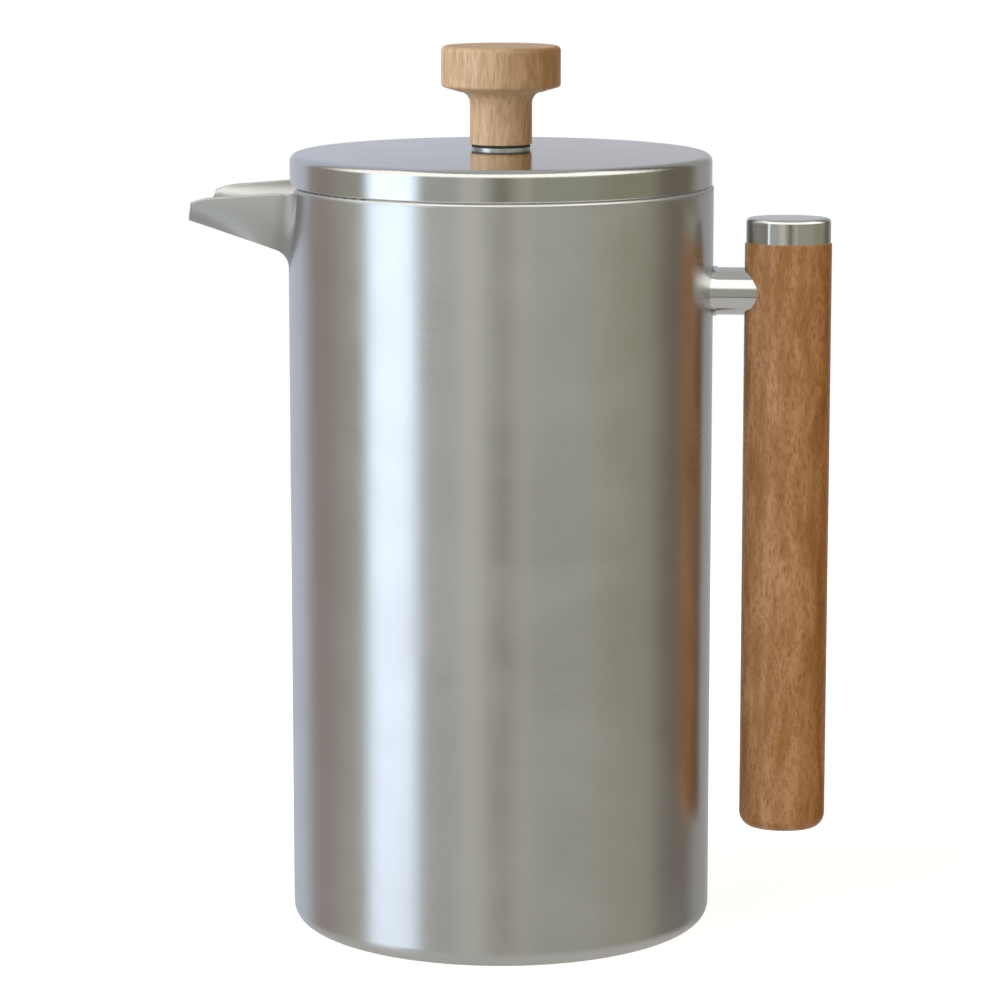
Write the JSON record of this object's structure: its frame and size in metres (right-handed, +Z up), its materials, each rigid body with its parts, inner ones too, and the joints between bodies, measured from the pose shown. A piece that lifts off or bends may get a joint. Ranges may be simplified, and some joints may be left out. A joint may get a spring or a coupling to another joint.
{
  "type": "french press",
  "caption": "Double-walled steel french press with a pouring spout, a straight wooden grip and a lid whose wooden-knobbed plunger slides a spring-edged filter through the vessel.",
  "frame": {"origin": "centre of the flat base on the vessel's axis, on the surface that it stands on", "axes": "+Z up along the vessel's axis, +X towards the handle, -X towards the spout"},
  "size_m": [0.159, 0.105, 0.2194],
  "materials": {
    "brushed_steel": "fine brushing around the body",
    "lid_steel": "satin top with a polished side",
    "inner_steel": "satin",
    "polished_steel": "polished",
    "plain_steel": "plain",
    "mesh_steel": "woven fine mesh",
    "grip_wood": "oiled beech",
    "knob_wood": "pale beech",
    "washer_rubber": "matt black",
    "insert_brass": "plain"
  },
  "bodies": {
    "vessel": {"outer_shell": "brushed_steel", "spout": "brushed_steel", "inner_vessel": "inner_steel", "base_plate": "inner_steel", "post_collar": "polished_steel", "handle_post": "polished_steel", "handle_grip": "grip_wood", "handle_cap": "polished_steel", "handle_stud": "plain_steel"},
    "lid": {"lid_cover": "lid_steel", "lid_liner": "inner_steel"},
    "guide": {"lid_bush": "plain_steel", "bush_ring": "plain_steel"},
    "plunger": {"plunger_rod": "polished_steel", "knob": "knob_wood", "knob_insert": "insert_brass", "knob_washer": "washer_rubber", "rod_collar": "plain_steel", "spiral_plate": "plain_steel", "spring_coil": "plain_steel", "filter_screen": "mesh_steel", "cross_plate": "plain_steel", "hub_nut": "plain_steel"}
  },
  "joints": [
    {"name": "lid_lift", "type": "slide", "parent": "vessel", "child": "lid", "axis": [0, 0, 1], "range_m": [0, 0.18]},
    {"name": "plunger_turn", "type": "hinge", "parent": "lid", "child": "guide", "pos_m": [0, 0, 0.185], "axis": [0, 0, 1], "continuous": true},
    {"name": "plunger_slide", "type": "slide", "parent": "guide", "child": "plunger", "axis": [0, 0, 1], "range_m": [0, 0.15]}
  ]
}
